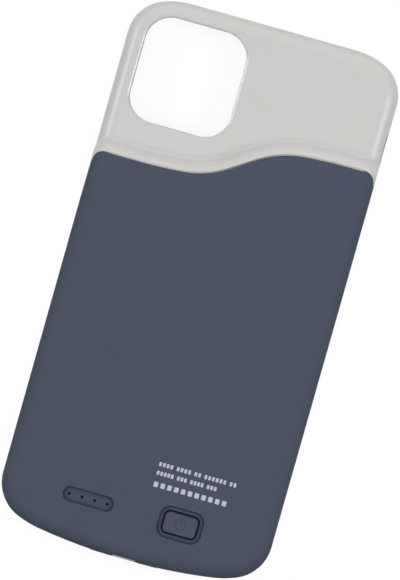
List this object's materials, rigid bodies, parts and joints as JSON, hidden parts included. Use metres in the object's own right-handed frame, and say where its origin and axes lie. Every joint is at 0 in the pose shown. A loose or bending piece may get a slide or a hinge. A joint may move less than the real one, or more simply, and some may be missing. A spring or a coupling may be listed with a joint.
{
  "type": "battery charging case",
  "caption": "Phone case with a battery pack on its back: soft grey frame with a camera window, navy pack with power button, charge lights, inlet and an inner plug.",
  "frame": {"origin": "middle of the plane of the front rim, on which the case lies", "axes": "+Z out of the back, +Y to the camera end, +X to the right seen from the back"},
  "size_m": [0.08, 0.1586, 0.0154],
  "materials": {
    "soft_frame": "matte soft-touch moulding",
    "pack_shell": "soft-touch coating",
    "button_cap": "soft-touch coating",
    "inner_plate": "fine moulded texture",
    "screw_steel": "black zinc",
    "switch_body": "moulded",
    "light_guide": "clear moulding",
    "led_package": "moulded",
    "circuit_board": "solder mask",
    "black_component": "moulded",
    "ceramic": "fired ceramic",
    "port_steel": "drawn",
    "port_plastic": "moulded",
    "plug_metal": "plated",
    "gold_contact": "plated",
    "plug_base": "moulded",
    "flex_film": "film",
    "film": "film",
    "tape": "adhesive foam",
    "cell_pouch": "satin foil",
    "lead_red": "extruded",
    "lead_black": "extruded"
  },
  "bodies": {
    "case": {"bumper_frame": "soft_frame", "back_shell": "pack_shell", "inner_plate": "inner_plate", "plate_screws": "screw_steel", "tact_switch": "switch_body", "led_light_guide": "light_guide", "status_leds": "led_package", "main_board": "circuit_board", "boost_inductor": "black_component", "power_chip": "black_component", "chip_capacitors": "ceramic", "charging_port_shell": "port_steel", "charging_port_tongue": "port_plastic", "dock_plug": "plug_metal", "dock_contacts": "gold_contact", "dock_plug_base": "plug_base", "dock_flex": "flex_film", "insulating_film": "film", "battery_tape": "tape", "battery_cell": "cell_pouch", "cell_protection_board": "circuit_board", "battery_lead_red": "lead_red", "battery_lead_black": "lead_black"},
    "button": {"power_button": "button_cap", "switch_plunger": "switch_body"}
  },
  "joints": [
    {"name": "power_button_press", "type": "slide", "parent": "case", "child": "button", "axis": [0, 0, -1], "range_m": [0, 0.0003], "stiffness_N_per_m": 2500}
  ]
}
